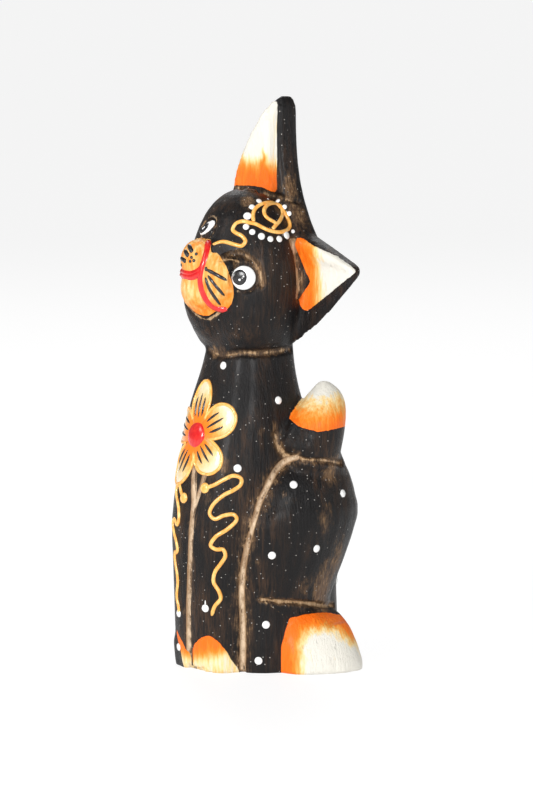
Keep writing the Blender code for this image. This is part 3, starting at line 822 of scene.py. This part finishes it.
def bead(name, lines, width, height, taper=0.35):
    """Lines of thick paint: round tubes sunk in the wood until the width shows.

    Each line is a list of places and normals on the wood; its ends are rounded off.
    """
    radius = (width ** 2 / 4 + height ** 2) / (2 * height)
    curve = bpy.data.curves.new(name, "CURVE")
    curve.dimensions = "3D"
    curve.bevel_depth = radius
    curve.bevel_resolution = 3
    curve.use_fill_caps = True
    for line in lines:
        spline = curve.splines.new("POLY")
        spline.points.add(len(line) - 1)
        for index, (point, (place, normal)) in enumerate(zip(spline.points, line)):
            from_end = min(index, len(line) - 1 - index)
            size = 1.0 if from_end > 2 else taper + (1 - taper) * math.sqrt(from_end / 3)
            sunk = place - normal * (radius - height) * size
            point.co = (*sunk, 1)
            point.radius = size
    source = bpy.data.objects.new(name, curve)
    bpy.context.scene.collection.objects.link(source)
    bpy.context.view_layer.update()
    mesh = bpy.data.meshes.new_from_object(source)
    bpy.data.objects.remove(source, do_unlink=True)
    shape = bmesh.new()
    shape.from_mesh(mesh)
    bpy.data.meshes.remove(mesh)
    bmesh.ops.remove_doubles(shape, verts=shape.verts, dist=1e-6)
    bmesh.ops.recalc_face_normals(shape, faces=shape.faces)
    return shape


def on_wood(pixels, per_span=6):
    """A smooth line of pixels as places and even normals on the wood."""
    hits = [touch(tree, *pixel) for pixel in smooth_line(pixels, per_span)]
    line = []
    for index, (place, _) in enumerate(hits):
        near = hits[max(index - 2, 0):index + 3]
        line.append((place, sum((normal for _, normal in near), Vector()).normalized()))
    return line


red_enamel = enamel("red enamel", (0.62, 0.008, 0.010, 1), (0.72, 0.022, 0.016, 1))
finish_piece("mouth", bead("mouth", [on_wood(line) for line in MOUTH], RED_WIDTH, RED_HEIGHT),
             red_enamel)
finish_piece("whiskers", bead("whiskers", [on_wood(line) for line in WHISKERS], *WHISKER_SIZE, 0.3),
             black_enamel)
marks = bead("slashes", [on_wood(line, 10) for line in SLASHES], *SLASH_SIZE, 0.6)
for pixel in FRECKLES:
    dome(marks, *touch(tree, *pixel), *FRECKLE_SIZE, 14)
finish_piece("cheek_marks", marks, black_enamel)


# Gold line on the forehead: paint piped from a bag in one run, from the nose up and round
# in a shell, with a small loop inside it and a row of white dots outside.
GOLD_WIDTH = 0.0016
GOLD_HEIGHT = 0.00065
FOREHEAD_LINE = ((212.8, 244.8), (223, 241.6), (235.2, 244.7), (241.8, 245.7), (245.4, 241),
                 (241.8, 236), (235.2, 232.4), (232.7, 229), (236.2, 223.3), (243, 221.2),
                 (250.5, 222.8), (256.6, 224.3), (265.8, 229), (273.5, 231.4), (281, 232),
                 (287.8, 229.4), (289.8, 224.3), (286.7, 216.6), (282, 209), (276, 204),
                 (269.4, 202.3), (260.7, 204.4), (255, 209), (253, 215), (253.6, 221.5))
FOREHEAD_LOOP = ((272.5, 229), (276, 225), (280.5, 219.5), (282.4, 213), (280.6, 206.6),
                 (274.5, 203.4), (267.6, 204.8), (264.2, 210), (265.4, 215.6), (269.6, 219.4),
                 (274.6, 222.2), (277.5, 225.4))
FOREHEAD_DOTS = (         # pixel, radius in metres
    ((247.4, 216), 0.00160), ((252, 207), 0.00118), ((259, 201), 0.00115), ((268, 199), 0.00045),
    ((277.8, 201), 0.00100), ((284.4, 207), 0.00100), ((289, 213.6), 0.00100),
    ((293, 231.4), 0.00080), ((286.4, 235.2), 0.00165), ((279.3, 239), 0.00130),
    ((270.4, 239), 0.00122), ((261.5, 236.3), 0.00138), ((252.3, 232), 0.00120),
    ((246, 226.8), 0.00125),
)
FOREHEAD_DOT_RISE = 0.45  # height as a share of the radius
gold_enamel = enamel("gold enamel", (0.90, 0.40, 0.075, 1), (0.93, 0.56, 0.17, 1), 0.26, 500)
finish_piece("forehead_line", bead("forehead_line", [on_wood(FOREHEAD_LINE), on_wood(FOREHEAD_LOOP)],
                                   GOLD_WIDTH, GOLD_HEIGHT, 0.7), gold_enamel)
forehead_dots = bmesh.new()
for pixel, radius in FOREHEAD_DOTS:
    dome(forehead_dots, *touch(tree, *pixel), radius, radius * FOREHEAD_DOT_RISE, 20)
finish_piece("forehead_dots", forehead_dots, white_enamel)


# The flower on the chest: five petals of thick paint, orange at the heart and cream at
# the tips, each with a piped gold rim and three black veins, round a red domed heart.
FLOWER_MIDDLE = (196.7, 434.9)
PETALS = (                # degrees from the cat's left, length, half width
    (97, 0.0206, 0.0056), (30, 0.0198, 0.0061), (-47, 0.0172, 0.0059), (-113, 0.0212, 0.0054),
    (168, 0.0182, 0.0066),
)
PETAL_ROWS = 22
PETAL_COLUMNS = 14
PETAL_THICK = 0.0005
PETAL_START = 0.10
VEINS = ((-0.46, 0.34, 0.68), (0.0, 0.30, 0.76), (0.46, 0.34, 0.70))   # side, first, last
VEIN_SIZE = (0.0011, 0.00040)                # width, height
VEIN_LIFT = 0.00045
RIM_SIZE = (0.0013, 0.0007)
HEART_RADIUS = 0.0050
HEART_HEIGHT = 0.0016
CHEST_RADIUS = 0.0240


def round_trunk(angle, height):
    """The place and normal on the wood at an angle round the trunk's axis, from -Y."""
    outward = Vector((math.sin(angle), -math.cos(angle), 0))
    axis = Vector((0, TRUNK_AXIS_Y, height))
    place, normal, _, _ = tree.ray_cast(axis + outward * 0.12, -outward)
    return place, normal


flower_place = touch(tree, *FLOWER_MIDDLE)[0]
flower_angle = math.atan2(flower_place.x, TRUNK_AXIS_Y - flower_place.y)


def on_chest(across, up):
    """A place and normal on the chest, given from the flower's middle."""
    return round_trunk(flower_angle + across / CHEST_RADIUS, flower_place.z + up)


def petal_half(share):
    """A petal's half width along it, as a share of its widest: narrow base, round tip."""
    return math.sqrt(math.sin(math.pi * share ** 1.7)) if 0 < share < 1 else 0.0


def petal_place(petal, share, side):
    """Along a petal from 0 to 1, and across it from -1 to 1."""
    turn, length, half = petal
    turn = math.radians(turn)
    out = length * share
    aside = half * side * petal_half(PETAL_START + (0.998 - PETAL_START) * share)
    return on_chest(out * math.cos(turn) - aside * math.sin(turn),
                    out * math.sin(turn) + aside * math.cos(turn))


petals = bmesh.new()
along_layer = petals.verts.layers.float.new("along")
side_layer = petals.verts.layers.float.new("side")
rims = []
veins = []
for petal in PETALS:
    sheet = bmesh.ops.create_grid(petals, x_segments=PETAL_ROWS, y_segments=PETAL_COLUMNS, size=1)
    for vertex in sheet["verts"]:
        share = (vertex.co.x + 1) / 2
        side = vertex.co.y
        place, normal = petal_place(petal, share, side)
        cushion = max(1 - abs(side) ** 3, 0) * min(1, (1 - share) * 9) ** 0.5
        vertex.co = place + normal * PETAL_THICK * cushion
        vertex[along_layer] = share
        vertex[side_layer] = side
    rim = []
    for side in (-1, 1):
        shares = [0.28 + 0.715 * math.sin(step * math.pi / 48) for step in range(25)]
        edge = [petal_place(petal, share, side) for share in shares]
        rim = edge if side < 0 else rim + edge[::-1][1:]
    rims.append(rim)
    for side, first, last in VEINS:
        veins.append([petal_place(petal, first + (last - first) * step / 8, side)
                      for step in range(9)])
bmesh.ops.recalc_face_normals(petals, faces=petals.faces)
bmesh.ops.solidify(petals, geom=petals.faces[:] + petals.edges[:] + petals.verts[:],
                   thickness=0.0006)
bmesh.ops.remove_doubles(petals, verts=petals.verts, dist=1e-6)
bmesh.ops.recalc_face_normals(petals, faces=petals.faces)

petal_bench = Bench("petal paint")
brushed = petal_bench.noise(900, (1, 1, 0.7), 3, 0.6)
run = petal_bench.sums("ADD", petal_bench.attribute("along"),
                       petal_bench.sums("MULTIPLY_ADD", brushed, 0.35, -0.20))
petal_colour = petal_bench.ramp(run, ((0.0, DEEP_ORANGE), (0.34, ORANGE), (0.50, GOLD_YELLOW),
                                      (0.66, (0.80, 0.560, 0.240, 1)),
                                      (0.88, (0.80, 0.710, 0.500, 1))))
petal_bench.join(petal_colour, petal_bench.shader.inputs["Base Color"])
petal_bench.shader.inputs["Roughness"].default_value = 0.26
petal_bench.varnish(*ENAMEL_VARNISH)
petal_bench.bump(brushed, 0.00012)
finish_piece("petals", petals, petal_bench.material)
finish_piece("petal_rims", bead("petal_rims", rims, *RIM_SIZE, 0.6), gold_enamel)
lifted_veins = [[(place + normal * VEIN_LIFT, normal) for place, normal in vein] for vein in veins]
finish_piece("petal_veins", bead("petal_veins", lifted_veins, *VEIN_SIZE, 0.2), black_enamel)
heart = bmesh.new()
dome(heart, *on_chest(0, 0), HEART_RADIUS, HEART_HEIGHT, 40)
finish_piece("flower_heart", heart, red_enamel)


# Gold scrolls down both front legs: piped in one run each, from a blob beside the
# flower's stem, in loops that get smaller towards the paw.
SCROLL = ((205.4, 488), (214, 485), (224, 479.5), (233.5, 475.7), (241, 478.5), (240.5, 485),
          (233, 490.5), (224, 495), (213.6, 504), (209.6, 513.5), (215, 519), (224, 515.5),
          (233.7, 514.6), (236.4, 520.5), (227, 529.6), (216, 536.5), (210.6, 545), (216, 549.4),
          (223, 549.6), (225.4, 556), (221, 563.5), (215, 572), (213.6, 582), (219, 591.5),
          (220.5, 599), (214.6, 606.5), (211.6, 616))
SCROLL_BLOB = (204.8, 488)
BLOB_SIZE = (0.0021, 0.0009)                 # radius, height
OTHER_SCROLL_TURN = 0.47  # the right leg's scroll lies nearer the middle of the chest
OTHER_SCROLL_DROP = 0.93  # and starts lower, under the flower
scroll = on_wood(SCROLL)
other_scroll = []
for place, _ in scroll:
    angle = math.atan2(-place.x, TRUNK_AXIS_Y - place.y) * OTHER_SCROLL_TURN
    other_scroll.append(round_trunk(angle, place.z * OTHER_SCROLL_DROP))
scroll_shape = bead("scrolls", [scroll, other_scroll], GOLD_WIDTH, GOLD_HEIGHT, 0.25)
blob_place, blob_normal = touch(tree, *SCROLL_BLOB)
dome(scroll_shape, blob_place, blob_normal, *BLOB_SIZE, 20)
dome(scroll_shape, *other_scroll[0], *BLOB_SIZE, 20)
finish_piece("leg_scrolls", scroll_shape, gold_enamel)


# White dots, each one touch of the end of a stick, strewn over the body. Those on the
# sides that the photo doesn't show are fewer and strewn in the same way.
BODY_DOTS = ((223.3, 365.5), (278.3, 400.3), (237.6, 468.3), (293.6, 484.7), (342.8, 493.4),
             (272, 555.5), (316.6, 548.7), (266, 624.8), (258.5, 660.8), (205.3, 608.3),
             (178.8, 613.3), (178.8, 647))
DOT_RADIUS = 0.00155
DOT_HEIGHT = DOT_RADIUS * 0.4
DRIP = ((205.3, 600.4), (205.3, 606.5))      # paint that ran off the stick over one dot
DRIP_SIZE = (0.0006, 0.0003)                 # width, height
HIDDEN_DOTS = (           # degrees round the trunk from the chest, height
    (-62, 0.112), (-84, 0.086), (-100, 0.066), (-70, 0.052), (-112, 0.043), (-64, 0.028),
    (-90, 0.034), (-66, 0.010), (-140, 0.078), (160, 0.100), (-165, 0.060), (-150, 0.034),
    (168, 0.028), (-175, 0.116), (-118, 0.104),
)
body_dots = bead("body_dots", [on_wood(DRIP)], *DRIP_SIZE)
for pixel in BODY_DOTS:
    dome(body_dots, *touch(tree, *pixel), DOT_RADIUS, DOT_HEIGHT, 20)
for degrees, height in HIDDEN_DOTS:
    dome(body_dots, *round_trunk(math.radians(degrees), height), DOT_RADIUS, DOT_HEIGHT, 20)
finish_piece("body_dots", body_dots, white_enamel)
